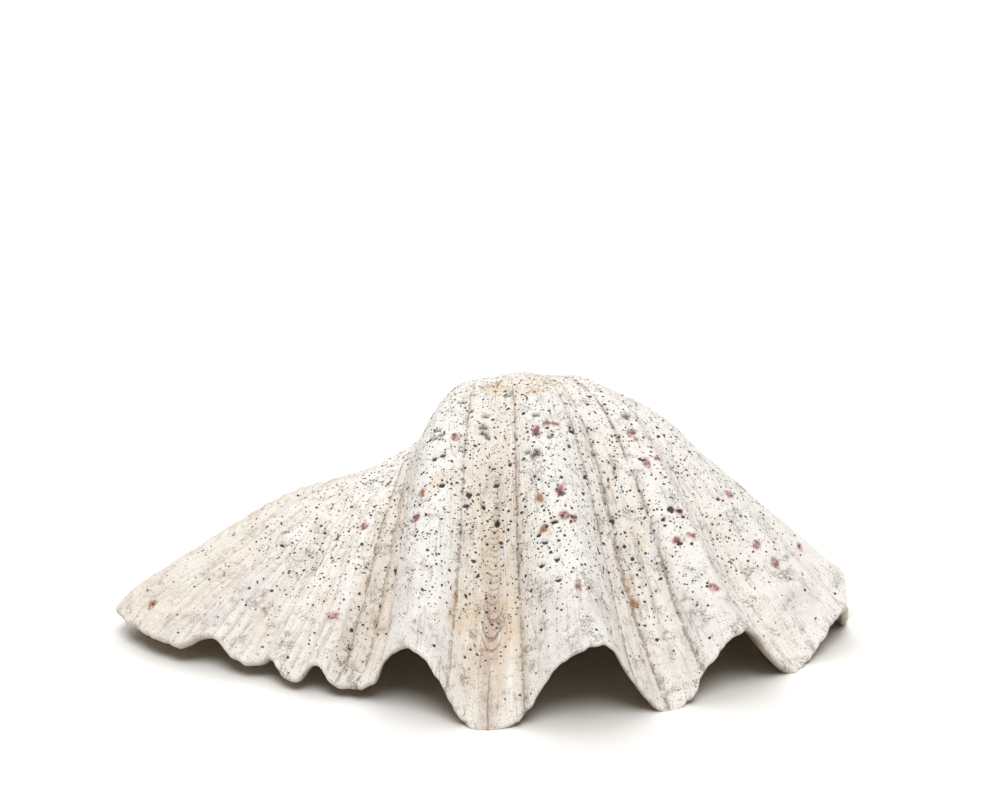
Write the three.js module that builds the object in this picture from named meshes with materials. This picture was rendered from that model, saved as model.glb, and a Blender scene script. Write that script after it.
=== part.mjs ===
import * as THREE from 'three';

// Giant clam shell: one valve of a large ribbed bivalve, lying with its hollow side down.
// Millimetres, +Z up. The scalloped front margin faces -Y, the hinge side +Y, the long wing -X.
// One closed body: the outer face runs from the margin up to the umbo, a rounded rim turns under
// the margin, and the inner face follows the outer one through the thickness of the wall.

// Wall
const RIM_WALL = 3.5;          // thickness at the margin
const BODY_WALL = 9;           // thickness over the body and the hinge
const WALL_GROWS_TO = 0.45;    // where on the way to the umbo the wall is full
const RIM_ROUND = 1.2;         // how far the rim's rounding stands out from the margin

// Folds: the big ridges and troughs that fan out from the umbo
const FOLD_FADE = 1.7;         // how fast the folds die away towards the umbo
const SCALLOP_REACH = 0.3;     // share of the way up in which the scallops turn into folds
const FOLD_LIMIT = 1.05;
const INNER_FOLD_LOSS = 0.6;   // share of the folds that the smooth inner face leaves out
const INNER_FOLD_REACH = 0.45;

// Relief on the outer face
const RIBLET_PITCH = 6.5;      // small ribs that ride on the folds
const RIBLET_HEIGHT = 0.45;
const RIDGE_RIBLETS = 0.35;    // share of that height left on the worn ridges
const GROOVE_DEPTH = 1.3;      // furrows along the troughs' floors
const GROOVE_WIDTH = 2.4;
const LEDGE_HEIGHT = 0.55;     // old growth edges that cross the folds
const LEDGE_TAIL = 0.05;
const LEDGE_STEP = 0.006;
const LEDGES = [0.1, 0.19, 0.31];
const LUMP_HEIGHT = 0.5;       // slow waviness of the worn surface

// Spacing of the columns of facets along the margin
const FRONT_PITCH = RIBLET_PITCH / 3;
const BACK_PITCH = 9;

// The umbo's beak, seen from above the hinge line, where the stations below have their origin.
const BEAK = new THREE.Vector3(-0.5, -14, 66);
// From there to the middle of the shell's footprint.
const TO_FOOTPRINT_MIDDLE = new THREE.Vector3(3.97, 75.17, 0);
// The wall thickens towards this place in the hollow; the spans set how strongly it pulls.
const HOLLOW = { x: 0, y: -70, spanX: 260, spanY: 80, sink: 0.6 };

// The margin, anticlockwise from the tip of the long wing. fold: -1 bottom of a trough,
// 1 crest of a ridge, 0 the plain hinge side, between them the flanks.
const MARGIN = [
  { name: 'T0', fold: -1, at: [-133, -70, 10] },
  { name: 'S1', fold: -0.6, at: [-119, -93, 9.5] },
  { name: 'T1', fold: -1, at: [-107.5, -101, 8.5] },
  { name: 'R1', fold: 1, at: [-99, -103.5, 13] },
  { name: 'S2', fold: 0.6, at: [-94, -106, 12.5] },
  { name: 'T2', fold: -1, at: [-85, -112, 7.5] },
  { name: 'N2', fold: -0.85, at: [-78, -114, 7.5] },
  { name: 'R2', fold: 0.9, at: [-74.5, -116.5, 10.5] },
  { name: 'L3', fold: -0.85, at: [-69.5, -122, 6] },
  { name: 'T3', fold: -1, at: [-65, -124.5, 6] },
  { name: 'R3', fold: 1, at: [-59.5, -126, 12.5] },
  { name: 'L4', fold: -0.8, at: [-53.5, -128.5, 6.5] },
  { name: 'T4', fold: -1, at: [-45.5, -131, 6] },
  { name: 'N4', fold: -0.8, at: [-39, -134, 10] },
  { name: 'S4', fold: 0.2, at: [-36, -137.5, 18] },
  { name: 'R4', fold: 1, at: [-29, -142.5, 24.5] },
  { name: 'F4', fold: 0.7, at: [-23.5, -145, 22.5] },
  { name: 'S5', fold: -0.1, at: [-17.5, -148, 14] },
  { name: 'L5', fold: -0.8, at: [-10.5, -150.5, 3] },
  { name: 'T5', fold: -1, at: [-3, -153.5, 0] },
  { name: 'N5', fold: -0.85, at: [6.5, -151, 1.5] },
  { name: 'S6', fold: -0.3, at: [11.5, -150, 9.5] },
  { name: 'F6', fold: 0.5, at: [18.5, -151, 21.5] },
  { name: 'R5', fold: 1, at: [29.5, -153.5, 29.5] },
  { name: 'F5', fold: 0.8, at: [35.5, -151.5, 28] },
  { name: 'S7', fold: 0.2, at: [40.5, -147, 18.5] },
  { name: 'L6', fold: -0.8, at: [50, -140.5, 4] },
  { name: 'T6', fold: -1, at: [56, -137.5, 0] },
  { name: 'N6', fold: -0.8, at: [62.5, -134, 3.5] },
  { name: 'S8', fold: 0.1, at: [68, -130.5, 13.5] },
  { name: 'R6', fold: 1, at: [79, -127, 24] },
  { name: 'F7', fold: 0.6, at: [84.5, -124, 21] },
  { name: 'S9', fold: -0.3, at: [90, -117, 11.5] },
  { name: 'T7', fold: -1, at: [99.5, -107, 1] },
  { name: 'N7', fold: -0.8, at: [104.5, -101, 2.5] },
  { name: 'R7', fold: 0.9, at: [119.5, -82, 14] },
  { name: 'T8', fold: -0.8, at: [124.5, -61, 2.5] },
  { name: 'R8', fold: 0.9, at: [124, -47, 15] },
  { name: 'D1', fold: 0, at: [112, -31, 3] },
  { name: 'D2', fold: 0, at: [86, -13, 0] },
  { name: 'D3', fold: 0, at: [50, -2, 4] },
  { name: 'D4', fold: 0, at: [12, 3, 8] },
  { name: 'D5', fold: 0, at: [-22, 1, 13] },
  { name: 'D6', fold: 0, at: [-52, -8, 12] },
  { name: 'D7', fold: 0, at: [-84, -23, 0] },
  { name: 'D8', fold: 0, at: [-112, -44, 6] },
];
const TROUGH_FOLD = -0.8;      // stations this low carry the line of the trough bottoms
const RIDGE_FOLD = 0.9;        // and these the line of the ridge crests

// How the shell climbs from each of these stations: rise is its steepness at the margin, and
// crown the handle, measured from the beak, that swells it over the top before it meets the beak.
const CLIMB_PULL = 0.3;
const CLIMB = [
  { name: 'T0', rise: 52, crown: [-45, -10, -30] },
  { name: 'T2', rise: 28, crown: [-48, -14, -10] },
  { name: 'T4', rise: 42, crown: [-43, -18, 2] },
  { name: 'R4', rise: 36, crown: [-29, -22, 36] },
  { name: 'T5', rise: 38, crown: [2, -26, 54] },
  { name: 'R5', rise: 25, crown: [20, -27, 55] },
  { name: 'T6', rise: 30, crown: [34, -26, 56] },
  { name: 'R6', rise: 24, crown: [53, -22, 50] },
  { name: 'T7', rise: 27, crown: [56, -18, 47] },
  { name: 'T8', rise: 30, crown: [54, -9, 28] },
  { name: 'D2', rise: 23, crown: [38, 2, -7] },
  { name: 'D4', rise: 12, crown: [4, 6, -28] },
  { name: 'D6', rise: 14, crown: [-30, 4, -18] },
  { name: 'D8', rise: 52, crown: [-40, -4, -36] },
];

// Furrows beside and along the troughs' floors: how far each lies from a station.
const FURROWS = [
  { name: 'T4', offset: -7 },
  { name: 'T4', offset: 0 },
  { name: 'T4', offset: 7.5 },
  { name: 'T5', offset: -14 },
  { name: 'T5', offset: 12.2 },
  { name: 'T6', offset: -13.5 },
  { name: 'T6', offset: -0.5 },
  { name: 'T6', offset: 12.5 },
  { name: 'T7', offset: -5 },
  { name: 'R7', offset: 3 },
];

// Rows of facets, as shares of the way from the margin (0) to the beak (1).
const OUTER_ROWS = [
  0, 0.04, 0.094, 0.106, 0.145, 0.184, 0.196, 0.25, 0.304, 0.316, 0.4, 0.5, 0.6, 0.7, 0.8, 0.9,
];
const INNER_ROWS = [0.94, 0.8, 0.62, 0.44, 0.28, 0.15, 0.06, 0];

const clamp01 = (value) => Math.min(Math.max(value, 0), 1);
const smooth = (value) => {
  const t = clamp01(value);
  return t * t * (3 - 2 * t);
};

// Distance along the margin's plan, from station to station.
function marginKnots() {
  const knots = [0];
  MARGIN.forEach((station, i) => {
    const next = MARGIN[(i + 1) % MARGIN.length];
    knots.push(knots[i] + Math.hypot(next.at[0] - station.at[0], next.at[1] - station.at[1]));
  });
  return { knots: knots.slice(0, -1), length: knots.at(-1) };
}

const { knots: KNOTS, length: MARGIN_LENGTH } = marginKnots();
const knotOf = (name) => KNOTS[MARGIN.findIndex((station) => station.name === name)];

// A closed curve through rows of values, smooth at every knot, as a function of the distance q.
function closedCurve(knots, values) {
  const count = knots.length;
  const wrap = (i) => ((i % count) + count) % count;
  const knot = (i) => knots[wrap(i)] + Math.floor(i / count) * MARGIN_LENGTH;
  return (q) => {
    let i = -1;
    while (i + 1 < count && knot(i + 1) <= q) i += 1;
    const span = knot(i + 1) - knot(i);
    const s = (q - knot(i)) / span;
    return values[0].map((_, k) => {
      const [before, from, to, after] = [-1, 0, 1, 2].map((step) => values[wrap(i + step)][k]);
      const leave = ((to - before) / (knot(i + 1) - knot(i - 1))) * span;
      const arrive = ((after - from) / (knot(i + 2) - knot(i))) * span;
      return (2 * s ** 3 - 3 * s ** 2 + 1) * from + (s ** 3 - 2 * s ** 2 + s) * leave
        + (3 * s ** 2 - 2 * s ** 3) * to + (s ** 3 - s ** 2) * arrive;
    });
  };
}

function curveThrough(stations, valueOf) {
  return closedCurve(stations.map((station) => knotOf(station.name)), stations.map(valueOf));
}

const onHinge = (station) => station.name.startsWith('D');
const marginCurve = curveThrough(MARGIN, (station) => station.at);
const foldCurve = curveThrough(MARGIN, (station) => [station.fold]);
const troughLine = curveThrough(
  MARGIN.filter((station) => station.fold <= TROUGH_FOLD || onHinge(station)),
  (station) => station.at,
);
const ridgeLine = curveThrough(
  MARGIN.filter((station) => station.fold >= RIDGE_FOLD || onHinge(station)),
  (station) => station.at,
);
const climbCurve = curveThrough(CLIMB, (station) => [station.rise, ...station.crown]);

// Everything that depends on the place q along the margin alone.
function meridian(q) {
  const low = new THREE.Vector3(...troughLine(q));
  const high = new THREE.Vector3(...ridgeLine(q));
  const foot = low.clone().add(high).multiplyScalar(0.5);
  const [rise, ...crown] = climbCurve(q);
  const pull = new THREE.Vector3(BEAK.x - foot.x, BEAK.y - foot.y, 0).multiplyScalar(CLIMB_PULL);
  return {
    curve: new THREE.CubicBezierCurve3(
      foot,
      foot.clone().add(pull).setZ(foot.z + rise),
      BEAK.clone().add(new THREE.Vector3(...crown)),
      BEAK,
    ),
    scallop: new THREE.Vector3(...marginCurve(q)).sub(foot),
    fold: THREE.MathUtils.clamp(foldCurve(q)[0], -FOLD_LIMIT, FOLD_LIMIT),
    depth: high.distanceTo(low) / 2,
  };
}

const wrapDistance = (q) => ((q % MARGIN_LENGTH) + MARGIN_LENGTH) % MARGIN_LENGTH;

// Outward direction of the unfolded shell.
function outward(q, u) {
  const du = 0.01;
  const dq = 0.5;
  const low = Math.max(u - du, 0);
  const high = Math.min(u + du, 1 - du);
  const here = meridian(q).curve;
  const along = meridian(wrapDistance(q + dq)).curve.getPoint(Math.min(u, 1 - du))
    .sub(meridian(wrapDistance(q - dq)).curve.getPoint(Math.min(u, 1 - du)));
  const up = here.getPoint(high).sub(here.getPoint(low));
  return along.cross(up).normalize();
}

// Riblets, furrows, growth ledges and lumps of the outer face, as a height above the folds.
function relief(q, u, fold) {
  const frontShare = smooth((knotOf('T8') - q) / 20) * smooth(q / 20);
  const onTrough = 1 - (1 - RIDGE_RIBLETS) * smooth((fold + 0.4) / 1.2);
  const riblets = RIBLET_HEIGHT * onTrough * (1 - u) ** 2
    * Math.cos(2 * Math.PI * (q - knotOf('T5')) / RIBLET_PITCH);
  let furrows = 0;
  for (const furrow of FURROWS) {
    const aside = q - knotOf(furrow.name) - furrow.offset;
    furrows += GROOVE_DEPTH * Math.exp(-((aside / GROOVE_WIDTH) ** 2)) * (1 - u) ** 2;
  }
  let ledges = 0;
  for (const edge of LEDGES) {
    const above = u - edge;
    const step = smooth((above + LEDGE_STEP) / (2 * LEDGE_STEP));
    ledges += LEDGE_HEIGHT * step * Math.exp(-Math.max(above, 0) / LEDGE_TAIL);
  }
  const lumps = LUMP_HEIGHT * Math.sin(q / 17 + 9 * u) * Math.sin(11 * u + q / 29) * (1 - u ** 3);
  return frontShare * (riblets - furrows + ledges) + lumps;
}

// A point of the shell before the wall is added. keep is the share of the folds that is kept.
function shellPoint(q, u, keep, withRelief) {
  const { curve, scallop, fold, depth } = meridian(q);
  const point = curve.getPoint(u);
  const normal = outward(q, u);
  const nearMargin = smooth(1 - u / SCALLOP_REACH);
  const fade = (1 - u) ** FOLD_FADE * keep;
  point.addScaledVector(scallop, fade * nearMargin);
  point.addScaledVector(normal, fade * (1 - nearMargin) * fold * depth);
  if (withRelief) point.addScaledVector(normal, relief(q, u, fold) * smooth(u / 0.04));
  return point;
}

// Moves a point of the outer face through the wall, towards the hollow.
function throughWall(point, wall) {
  const towards = new THREE.Vector3(
    (HOLLOW.x - point.x) / HOLLOW.spanX,
    (HOLLOW.y - point.y) / HOLLOW.spanY,
    -HOLLOW.sink,
  ).normalize();
  return point.clone().addScaledVector(towards, wall);
}

function wallAt(u) {
  return RIM_WALL + (BODY_WALL - RIM_WALL) * smooth(u / WALL_GROWS_TO);
}

function innerPoint(q, u) {
  const keep = 1 - INNER_FOLD_LOSS * smooth(u / INNER_FOLD_REACH);
  return throughWall(shellPoint(q, u, keep, false), wallAt(u));
}

// The middle of the rim stands out a little, away from the umbo.
function rimPoint(q) {
  const edge = shellPoint(q, 0, 1, false);
  const outwards = edge.clone().sub(shellPoint(q, 0.02, 1, false)).normalize();
  const under = innerPoint(q, 0);
  return edge.add(under).multiplyScalar(0.5).addScaledVector(outwards, RIM_ROUND);
}

// Columns: every station has one, and the stretches between them are shared out evenly.
function columnPlaces() {
  return MARGIN.flatMap((station, i) => {
    const from = KNOTS[i];
    const to = i + 1 < KNOTS.length ? KNOTS[i + 1] : MARGIN_LENGTH;
    const pitch = onHinge(station) ? BACK_PITCH : FRONT_PITCH;
    const steps = Math.max(1, Math.round((to - from) / pitch));
    return Array.from({ length: steps }, (_, k) => from + ((to - from) * k) / steps);
  });
}

// Where the shell stands, its lowest places are worn flat on the ground.
function wornFlat(point) {
  return point.add(TO_FOOTPRINT_MIDDLE).setZ(Math.max(point.z, 0));
}

// Joins a first pole, closed rings of equal length and a last pole into one closed skin.
function closedSkin(firstPole, rings, lastPole) {
  const width = rings[0].length;
  const points = [firstPole, ...rings.flat(), lastPole];
  const last = points.length - 1;
  const at = (ring, column) => 1 + ring * width + (column % width);
  const index = [];
  for (let column = 0; column < width; column += 1) {
    index.push(0, at(0, column + 1), at(0, column));
    index.push(at(rings.length - 1, column), at(rings.length - 1, column + 1), last);
    for (let ring = 0; ring + 1 < rings.length; ring += 1) {
      const [a, b] = [at(ring, column), at(ring, column + 1)];
      const [c, d] = [at(ring + 1, column), at(ring + 1, column + 1)];
      index.push(a, b, d, a, d, c);
    }
  }
  const geometry = new THREE.BufferGeometry().setFromPoints(points);
  geometry.setIndex(index);
  geometry.computeVertexNormals();
  return geometry;
}

function shellGeometry() {
  const places = columnPlaces();
  const ring = (pointAt) => places.map((q) => wornFlat(pointAt(q)));
  const rings = [
    ...INNER_ROWS.map((u) => ring((q) => innerPoint(q, u))),
    ring(rimPoint),
    ...OUTER_ROWS.map((u) => ring((q) => shellPoint(q, u, 1, true))),
  ];
  const innerBeak = wornFlat(throughWall(BEAK, BODY_WALL));
  return closedSkin(innerBeak, rings, wornFlat(BEAK.clone()));
}

const shell = new THREE.Group();
const valve = new THREE.Mesh(
  shellGeometry(),
  new THREE.MeshStandardMaterial({ color: 0xe6ddd3, roughness: 0.75, metalness: 0 }),
);
valve.name = 'shell_valve';
shell.add(valve);

export default shell;
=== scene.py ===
"""Giant clam shell: the finely worked valve, its chalky pitted finish, and a plain studio."""
import math
from functools import reduce

import bpy
import numpy as np
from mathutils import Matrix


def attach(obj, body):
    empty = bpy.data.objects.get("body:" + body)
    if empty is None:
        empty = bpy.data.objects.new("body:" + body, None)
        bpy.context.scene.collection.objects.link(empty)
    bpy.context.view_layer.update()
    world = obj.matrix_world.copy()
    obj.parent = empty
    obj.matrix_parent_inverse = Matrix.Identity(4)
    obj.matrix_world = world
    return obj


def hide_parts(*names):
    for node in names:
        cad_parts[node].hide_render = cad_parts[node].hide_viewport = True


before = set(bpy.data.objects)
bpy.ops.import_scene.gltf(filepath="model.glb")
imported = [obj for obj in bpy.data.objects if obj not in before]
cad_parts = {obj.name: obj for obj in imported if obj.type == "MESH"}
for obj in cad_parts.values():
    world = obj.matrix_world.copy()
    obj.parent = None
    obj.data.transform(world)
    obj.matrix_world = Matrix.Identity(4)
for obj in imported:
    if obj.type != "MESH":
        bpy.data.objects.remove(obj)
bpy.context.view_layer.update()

bl_info = {
    "name": "Giant clam shell",
    "version": (1, 0, 0),
    "blender": (4, 5, 0),
    "location": "3D View > Sidebar > Shell",
    "description": "Builds a ribbed giant clam valve with a chalky, pitted outside, and its studio",
    "category": "Object",
}

NODE = "shell_valve"
MM = 0.001                       # the shell's dimensions below are in millimetres

# Wall
RIM_WALL = 3.5
BODY_WALL = 9.0
WALL_GROWS_TO = 0.45
RIM_ROUND = 1.2

# Folds
FOLD_FADE = 1.7
SCALLOP_REACH = 0.3
FOLD_LIMIT = 1.05
INNER_FOLD_LOSS = 0.6
INNER_FOLD_REACH = 0.45

# Relief that the solid has too
RIBLET_PITCH = 6.5
GROOVE_WIDTH = 2.4
LEDGE_TAIL = 0.05
LEDGE_STEP = 0.006
LEDGES = (0.1, 0.19, 0.31)
RIDGE_RIBLETS = 0.35

# Finer relief of the surface alone
CREASE_WIDTH = 0.8               # the sharp bottom of each furrow
STRIA_PITCH = 2.1                # hair-fine ribs between the riblets
GROWTH_LINE_PITCH = 0.021        # fine growth lines, as a share of the way up
BEAD_PITCH = 0.028               # scaly beads along the middle of the deepest trough
BEAD_WIDTH = 2.6
SEAM_BEND = 0.0016               # how steeply the U-shaped old tips rise away from the middle
HINGE_LEDGE_PITCH = 0.05         # growth ledges of the hinge side, as a share of the way up
HINGE_GROOVE = 0.075             # how far up the ligament's groove runs along the hinge
CHEVRON_PITCH = 0.011            # small chevrons between the beads, as a share of the way up
OLD_TIPS = (0.12, 0.138, 0.166)  # where the deepest trough's tip once was, as shares of the way up
WING_GROOVE_PITCH = 3.6          # crisp narrow grooves of the long wing
CHIP_SIZE = 7.0                  # length of the larger nibbles out of the margin
NICK_SIZE = 2.2                  # and of the smaller ones

# The lines of the shell meet at the beak. The shift puts the footprint's middle at the origin.
BEAK = np.array([-0.5, -14.0, 66.0])
TO_FOOTPRINT_MIDDLE = np.array([3.97, 75.17, 0.0])

# Where the wall's thickness points: at the hollow's middle over its span, and down by the sink
HOLLOW_MIDDLE = np.array([0.0, -70.0])
HOLLOW_SPAN = np.array([260.0, 80.0])
HOLLOW_SINK = 0.6

# The margin, anticlockwise from the tip of the long wing: fold and place of each station.
MARGIN = {
    "T0": (-1, (-133, -70, 10)), "S1": (-0.6, (-119, -93, 9.5)),
    "T1": (-1, (-107.5, -101, 8.5)), "R1": (1, (-99, -103.5, 13)),
    "S2": (0.6, (-94, -106, 12.5)), "T2": (-1, (-85, -112, 7.5)),
    "N2": (-0.85, (-78, -114, 7.5)), "R2": (0.9, (-74.5, -116.5, 10.5)),
    "L3": (-0.85, (-69.5, -122, 6)), "T3": (-1, (-65, -124.5, 6)),
    "R3": (1, (-59.5, -126, 12.5)), "L4": (-0.8, (-53.5, -128.5, 6.5)),
    "T4": (-1, (-45.5, -131, 6)), "N4": (-0.8, (-39, -134, 10)),
    "S4": (0.2, (-36, -137.5, 18)), "R4": (1, (-29, -142.5, 24.5)),
    "F4": (0.7, (-23.5, -145, 22.5)), "S5": (-0.1, (-17.5, -148, 14)),
    "L5": (-0.8, (-10.5, -150.5, 3)), "T5": (-1, (-3, -153.5, 0)),
    "N5": (-0.85, (6.5, -151, 3.5)), "S6": (-0.3, (11.5, -150, 9.5)),
    "F6": (0.5, (18.5, -151, 21.5)), "R5": (1, (29.5, -153.5, 29.5)),
    "F5": (0.8, (35.5, -151.5, 28)), "S7": (0.2, (40.5, -147, 18.5)),
    "L6": (-0.8, (50, -140.5, 4)), "T6": (-1, (56, -137.5, 0)),
    "N6": (-0.8, (62.5, -134, 3.5)), "S8": (0.1, (68, -130.5, 13.5)),
    "R6": (1, (79, -127, 24)), "F7": (0.6, (84.5, -124, 21)),
    "S9": (-0.3, (90, -117, 11.5)), "T7": (-1, (99.5, -107, 1)),
    "N7": (-0.8, (104.5, -101, 2.5)), "R7": (0.9, (119.5, -82, 14)),
    "T8": (-0.8, (124.5, -61, 2.5)), "R8": (0.9, (124, -47, 15)),
    "D1": (0, (112, -31, 3)), "D2": (0, (86, -13, 0)),
    "D3": (0, (50, -2, 4)), "D4": (0, (12, 3, 8)),
    "D5": (0, (-22, 1, 13)), "D6": (0, (-52, -8, 12)),
    "D7": (0, (-84, -23, 0)), "D8": (0, (-112, -44, 6)),
}
TROUGH_FOLD = -0.8
RIDGE_FOLD = 0.9

# How the shell climbs from each of these stations: rise at the margin, and crown handle.
CLIMB_PULL = 0.3
CLIMB = {
    "T0": (52, (-45, -10, -30)), "T2": (28, (-48, -14, -10)),
    "T4": (42, (-43, -18, 2)), "R4": (36, (-29, -22, 36)),
    "T5": (38, (2, -26, 54)), "R5": (25, (20, -27, 55)),
    "T6": (30, (34, -26, 56)), "R6": (24, (53, -22, 50)),
    "T7": (27, (56, -18, 47)), "T8": (30, (54, -9, 28)),
    "D2": (23, (38, 2, -7)), "D4": (12, (4, 6, -28)),
    "D6": (14, (-30, 4, -18)), "D8": (52, (-40, -4, -36)),
}

# Furrows beside and along the troughs' floors: a station, and the distance from it in mm
FURROWS = [("T4", -7.0), ("T4", 0.0), ("T4", 7.5), ("T5", -14.0), ("T5", 12.2), ("T6", -13.5),
           ("T6", -0.5), ("T6", 12.5), ("T7", -5.0), ("R7", 3.0)]

# How strong the cream of the troughs is at these stations
CREAM = {"T0": 0.3, "T3": 0.4, "T4": 0.75, "R4": 0.4, "T5": 1.0, "R5": 0.4, "T6": 0.3, "R6": 0.1,
         "T7": 0.12, "T8": 0.2, "D2": 0.5, "D6": 0.5}

# The photograph's camera
LENS = 75.0
SENSOR = 36.0
FRAME_WIDTH, FRAME_HEIGHT = 994, 796
CAMERA_PLACE = np.array([3.97, -676.6, 273.6])
CAMERA_PITCH = 15.44             # degrees below the horizon

# Marks read off the shell's front: x and y in the photograph, radius across and along in mm.
RUST = [(154, 602, 1.7, 2.6), (420, 493, 1.5, 2.2), (539, 500, 1.5, 2.6), (609, 485, 0.8, 3.2),
        (634, 604, 1.5, 1.7), (543, 528, 1.7, 1.2)]
MAROON = [(456, 436, 1.5, 2.2), (415, 519, 1.8, 1.6), (545, 424, 1.6, 1.0), (557, 424, 1.8, 1.1),
          (560, 487, 2.1, 1.9), (566, 514, 1.7, 1.5), (577, 517, 1.3, 1.5), (579, 586, 1.1, 2.8),
          (631, 432, 1.8, 1.8), (637, 437, 1.2, 1.3), (647, 460, 1.7, 1.5), (660, 458, 1.4, 1.1),
          (673, 468, 1.0, 1.8), (652, 439, 1.2, 0.9), (680, 510, 1.7, 1.6), (664, 517, 1.3, 1.4),
          (677, 539, 1.6, 1.7), (693, 534, 1.5, 1.4), (756, 543, 1.6, 1.2), (775, 561, 1.7, 1.5),
          (715, 585, 1.7, 1.8), (730, 493, 1.6, 1.6), (363, 526, 1.8, 1.4), (285, 530, 2.4, 1.3),
          (333, 614, 2.0, 1.8), (534, 430, 1.4, 1.4), (800, 545, 1.4, 1.2)]
AMBER = [(466, 618, 3.0, 9.0), (508, 620, 3.0, 10), (492, 645, 3.0, 4.0), (627, 582, 2.2, 9),
         (640, 540, 2.0, 8.0), (500, 384, 11, 3.0), (530, 388, 9, 2.6), (436, 480, 2.4, 4.0),
         (455, 605, 2.0, 8.0)]
VIOLET = [(407, 592, 3.6, 4.0), (598, 606, 7.0, 6.0), (572, 640, 6.0, 4.0), (694, 612, 4.0, 7.0),
          (800, 597, 7.0, 6.0), (552, 600, 4.0, 6.0), (420, 630, 8.0, 4.0), (250, 590, 6.0, 5.0),
          (210, 615, 6.0, 4.0), (588, 430, 3.0, 5.0), (735, 610, 5.0, 5.0)]
PITS = [(434, 456, 1.1, 0.9), (442, 455, 1.2, 0.9), (440, 485, 1.3, 0.9), (554, 519, 1.3, 0.9),
        (541, 565, 1.0, 1.0), (615, 519, 1.0, 1.2), (674, 508, 1.4, 1.3), (633, 409, 1.5, 1.2),
        (319, 561, 1.1, 1.0), (314, 568, 0.8, 1.3), (283, 543, 1.0, 0.8), (394, 571, 1.2, 1.2),
        (470, 494, 1.2, 1.7), (499, 522, 0.9, 2.1), (573, 430, 1.3, 1.0), (571, 446, 0.7, 1.9),
        (386, 482, 1.0, 1.9), (334, 537, 1.3, 1.6), (402, 447, 0.9, 1.8), (605, 566, 0.8, 0.9),
        (681, 543, 1.0, 0.9), (498, 485, 0.9, 0.8), (508, 463, 0.7, 1.4), (587, 476, 0.8, 1.0),
        (743, 515, 1.0, 0.8), (720, 497, 0.8, 0.8), (467, 596, 0.7, 0.8), (665, 518, 0.8, 0.8),
        (543, 541, 0.9, 0.8), (537, 533, 0.8, 0.7), (556, 557, 0.9, 0.8), (600, 548, 0.7, 1.3),
        (559, 580, 0.8, 0.8), (530, 590, 0.7, 0.7), (545, 608, 0.7, 0.6), (659, 590, 0.7, 0.7),
        (700, 603, 0.8, 0.7), (615, 468, 0.9, 0.7), (467, 506, 0.8, 0.7), (484, 508, 0.7, 0.7),
        (613, 632, 0.6, 1.1), (609, 480, 0.5, 1.6)]
ASHY = [(534, 454, 2.0, 1.6), (526, 450, 1.3, 1.1), (483, 425, 1.6, 1.5), (482, 432, 1.4, 1.0),
        (487, 437, 1.0, 0.8), (485, 415, 1.0, 1.2), (436, 430, 1.5, 0.8), (441, 434, 1.2, 0.8),
        (435, 439, 1.0, 0.7), (627, 414, 1.5, 1.3), (638, 413, 1.3, 1.2), (534, 415, 1.4, 0.9),
        (536, 432, 1.4, 1.3), (549, 434, 1.0, 1.0), (560, 494, 1.0, 1.0), (461, 401, 1.2, 0.9),
        (505, 395, 1.3, 0.8), (695, 650, 0.9, 0.9), (594, 452, 1.2, 1.0), (470, 410, 1.0, 0.8),
        (415, 425, 1.3, 0.8)]

SIGHT_WIDTH = 1.6                # in pixels, how close a point counts as at a pixel

# The skin's mesh: distance between its columns, in mm, and how many rows each part has
FRONT_COLUMNS = 0.78
BACK_COLUMNS = 3.4
INNER_ROWS = 28
RIM_ROWS = 7
MARGIN_ROWS = 62                 # from the rim to the end of the lower third
UPPER_ROWS = 76                  # from there to the beak

# Colours of the finer dirt and of the stains' halos
DUST = (0.5, 0.45, 0.41, 1.0)
STREAK = (0.42, 0.36, 0.32, 1.0)
DIRT = (0.34, 0.28, 0.23, 1.0)
SPECK = (0.17, 0.14, 0.115, 1.0)
HAIRLINE = (0.2, 0.155, 0.12, 1.0)
HINGE_BAND = (0.70, 0.585, 0.46, 1.0)
SEAM_BROWN = (0.53, 0.40, 0.35, 1.0)
RUST_HALO = (0.78, 0.61, 0.46, 1.0)
MAROON_HALO = (0.70, 0.52, 0.50, 1.0)
PAPER_GRAIN = (0.8, 0.8, 0.8, 1.0)

# Bore pits: cells per metre, share of the cells with a pit, radius in cells
PIT_LAYERS = [(250.0, 0.35, 0.18), (400.0, 0.75, 0.22), (620.0, 0.9, 0.25), (1000.0, 0.5, 0.25)]
# Crackle: cells per metre, width of the lines in cells, how much of them shows
CRACKLE_LAYERS = [(190.0, 0.03, 0.43), (480.0, 0.075, 0.39)]

# Lights: how far each is turned from straight down, about X and Y in degrees
OVERHEAD_TURNS = (-21, -8)
FRONT_TURNS = (30, 4)
FRONT_SPREAD = math.radians(32)  # how wide the light in front is, seen from the shell
LIGHT_TINT = (0.96, 0.985, 1.0)
FLOOR_REACH = 6.0                # in metres, from the middle to each edge


# Settings that a user would change

def colour_setting(name, description, default):
    """A colour, given as red, green and blue."""
    return bpy.props.FloatVectorProperty(
        name=name, description=description, default=(*default, 1.0), subtype="COLOR", size=4,
        min=0.0, max=1.0)


def height_setting(name, description, default, most):
    """A small height or depth, its default and its most given in mm."""
    return bpy.props.FloatProperty(
        name=name, description=description, default=default * MM, min=0.0, max=most * MM,
        precision=5, unit="LENGTH")


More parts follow.
